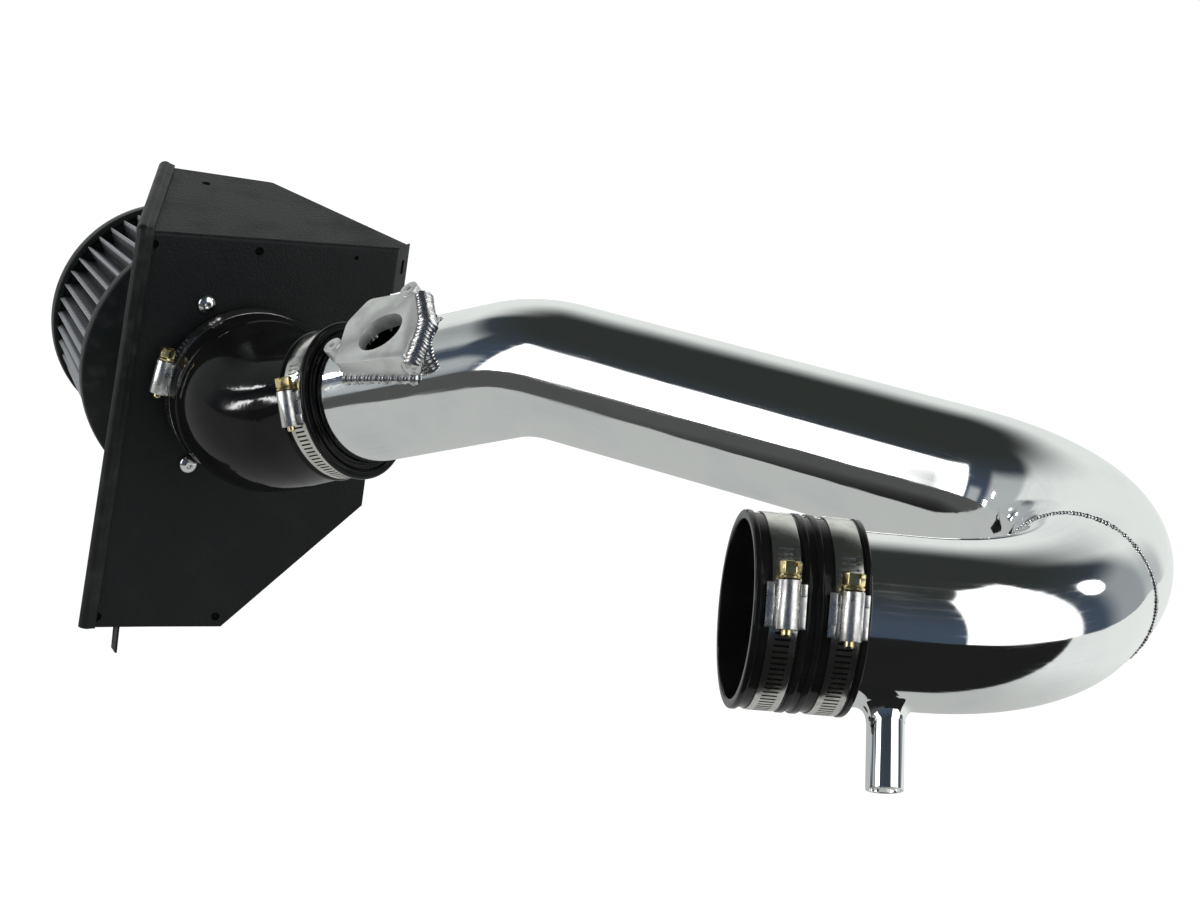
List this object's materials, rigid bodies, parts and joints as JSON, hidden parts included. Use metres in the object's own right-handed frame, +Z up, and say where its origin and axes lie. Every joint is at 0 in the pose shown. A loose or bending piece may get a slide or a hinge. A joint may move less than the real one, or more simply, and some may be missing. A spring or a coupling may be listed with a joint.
{
  "type": "cold air intake pipe",
  "caption": "bent polished tube with a sensor flange, a vent nipple, a straight outlet coupler, a reducing elbow, and a cone filter carried by a folded heat shield",
  "frame": {"origin": "centre of the outlet coupler's open mouth", "axes": "-X points out of the outlet mouth along the tube's axis, +Z is up, and the tube runs away along +X and back toward +Y to the filter"},
  "size_m": [0.6891, 0.8799, 0.3441],
  "materials": {
    "polished_tube": "mirror polished",
    "weld": "rippled weld bead",
    "machined_flange": "satin machined",
    "black_rubber": "glossy moulded rubber",
    "filter_rubber": "satin moulded urethane",
    "clamp_steel": "bright stainless",
    "zinc_screw": "yellow zinc plate",
    "screw_steel": "polished stainless",
    "powder_coat": "fine textured black powder coat",
    "trim_rubber": "matt extruded rubber",
    "adapter_black": "gloss black",
    "media": "pleated grey media under a fine mesh"
  },
  "bodies": {
    "root": {"lower_tube": "polished_tube", "upper_tube": "polished_tube", "seam_weld": "weld", "vent_nipple": "polished_tube", "vent_weld": "weld", "sensor_flange": "machined_flange", "flange_weld": "weld", "outlet_coupler": "black_rubber", "mouth_band": "clamp_steel", "mouth_housing": "clamp_steel", "mouth_screw": "zinc_screw", "tube_band": "clamp_steel", "tube_housing": "clamp_steel", "tube_screw": "zinc_screw", "rubber_elbow": "black_rubber", "inlet_band": "clamp_steel", "inlet_housing": "clamp_steel", "inlet_screw": "zinc_screw", "adapter_band": "clamp_steel", "adapter_housing": "clamp_steel", "adapter_screw": "zinc_screw", "filter_adapter": "adapter_black", "heat_shield": "powder_coat", "edge_trim": "trim_rubber", "shield_screws": "screw_steel", "shield_nuts": "screw_steel", "filter_base": "filter_rubber", "filter_pleats": "media", "filter_cap": "filter_rubber", "filter_band": "clamp_steel", "filter_housing": "clamp_steel", "filter_screw": "zinc_screw"}
  },
  "joints": []
}
